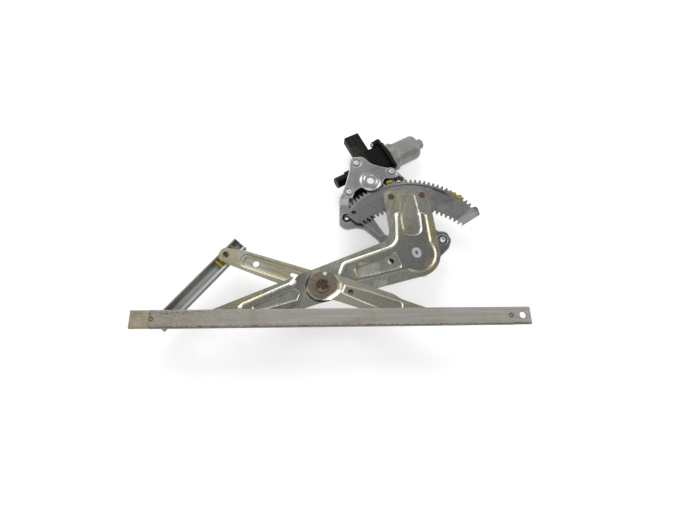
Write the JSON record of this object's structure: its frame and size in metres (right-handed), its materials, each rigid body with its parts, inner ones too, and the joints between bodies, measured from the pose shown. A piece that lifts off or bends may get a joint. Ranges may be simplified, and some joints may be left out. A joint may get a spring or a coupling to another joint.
{
  "type": "window regulator",
  "caption": "Crossed-arm power window regulator: geared motor, toothed sector lift arm, equalizer arms, guide channel and long glass rail.",
  "frame": {"origin": "on the lift pivot's axis, in the plane of the base plate's mounting feet", "axes": "+Z from the door's inner panel towards the glass, +Y the way the glass rises, +X along the glass rail"},
  "size_m": [0.5245, 0.3221, 0.0601],
  "materials": {
    "galvanised_plate": "zinc-coated stamped steel, satin",
    "plated_steel": "plated steel fasteners",
    "rusty_steel": "steel rivets and studs with surface rust",
    "black_plastic": "glass-filled moulding, matte",
    "motor_steel": "zinc-coated drawn steel",
    "magnet": "sintered ferrite",
    "core_steel": "laminated electrical steel",
    "copper": "enamelled copper",
    "brush_board": "phenolic board with carbon brushes",
    "turned_steel": "turned and ground steel",
    "bronze": "sintered bronze",
    "white_nylon": "moulded nylon",
    "worm_wheel": "moulded acetal",
    "rubber": "moulded rubber",
    "lift_steel": "zinc-plated stamped steel",
    "sector_steel": "fine-blanked steel, worn",
    "chromate_steel": "yellow chromate on zinc",
    "tin": "tinned terminals",
    "ochre_nylon": "greased nylon",
    "rail_steel": "roll-formed galvanised steel, dulled",
    "guide_steel": "roll-formed steel, blue-grey"
  },
  "bodies": {
    "base": {"base_plate": "galvanised_plate", "weld_nuts": "rusty_steel", "pivot_stud": "plated_steel", "pivot_spacer": "plated_steel", "pivot_washer": "plated_steel", "motor_screws": "plated_steel", "gear_housing": "black_plastic", "gear_cover": "motor_steel", "connector_pins": "tin", "motor_can": "motor_steel", "field_magnets": "magnet", "brush_card": "brush_board", "armature_stack": "core_steel", "armature_windings": "copper", "commutator": "copper", "worm_shaft": "turned_steel", "rear_bearing": "bronze", "front_bearing": "bronze", "thrust_plug": "white_nylon", "output_bush": "bronze", "can_screws": "plated_steel"},
    "output": {"pinion": "turned_steel", "shaft_cap": "white_nylon", "worm_wheel": "worm_wheel", "drive_damper": "rubber"},
    "lift": {"lift_arm": "lift_steel", "sector_gear": "sector_steel", "sector_rivets": "rusty_steel", "lift_slider_pin": "plated_steel"},
    "equalizer": {"guide_arm": "chromate_steel", "rail_arm": "chromate_steel", "centre_stud": "rusty_steel", "friction_washers": "ochre_nylon", "guide_pin": "rusty_steel", "rail_slider_pin": "plated_steel"},
    "left_shoe": {"rail_shoe_left": "white_nylon"},
    "right_shoe": {"rail_shoe_right": "white_nylon"},
    "lower_shoe": {"guide_shoe": "ochre_nylon"},
    "rail": {"glass_rail": "rail_steel", "rail_end_left": "rail_steel", "rail_end_right": "rail_steel", "rail_rivets": "rusty_steel"},
    "guide": {"guide_channel": "guide_steel", "guide_brackets": "guide_steel", "guide_nuts": "rusty_steel"}
  },
  "joints": [
    {"name": "lift_pivot", "type": "hinge", "parent": "base", "child": "lift", "pos_m": [0, 0, 0.012], "axis": [0, 0, 1], "range_deg": [-18, 37]},
    {"name": "pinion_spin", "type": "hinge", "parent": "base", "child": "output", "pos_m": [-0.0601, 0.1171, 0.009], "axis": [0, 0, 1], "range_deg": [-400, 200]},
    {"name": "equalizer_pivot", "type": "hinge", "parent": "lift", "child": "equalizer", "pos_m": [-0.1342, -0.04792, 0.012], "axis": [0, 0, 1], "range_deg": [-75, 37]},
    {"name": "left_shoe_pivot", "type": "hinge", "parent": "lift", "child": "left_shoe", "pos_m": [-0.2684, -0.09584, 0.024], "axis": [0, 0, 1], "range_deg": [-38, 19]},
    {"name": "right_shoe_pivot", "type": "hinge", "parent": "equalizer", "child": "right_shoe", "pos_m": [0, -0.09584, 0.024], "axis": [0, 0, 1], "range_deg": [-19, 38]},
    {"name": "rail_slide", "type": "slide", "parent": "right_shoe", "child": "rail", "axis": [1, 0, 0], "range_m": [-0.09, 0.042]},
    {"name": "guide_shoe_pivot", "type": "hinge", "parent": "equalizer", "child": "lower_shoe", "pos_m": [-0.2684, 0, 0.001], "axis": [0, 0, 1], "range_deg": [-50, 130]},
    {"name": "guide_slide", "type": "slide", "parent": "lower_shoe", "child": "guide", "axis": [-0.6508, -0.7593, 0], "range_m": [-0.1, 0.004]}
  ],
  "couplings": [
    {"joint": "pinion_spin", "follows": "lift_pivot", "ratio": -10.7},
    {"joint": "equalizer_pivot", "follows": "lift_pivot", "ratio": -2},
    {"joint": "left_shoe_pivot", "follows": "lift_pivot", "ratio": -1},
    {"joint": "right_shoe_pivot", "follows": "lift_pivot", "ratio": 1}
  ]
}
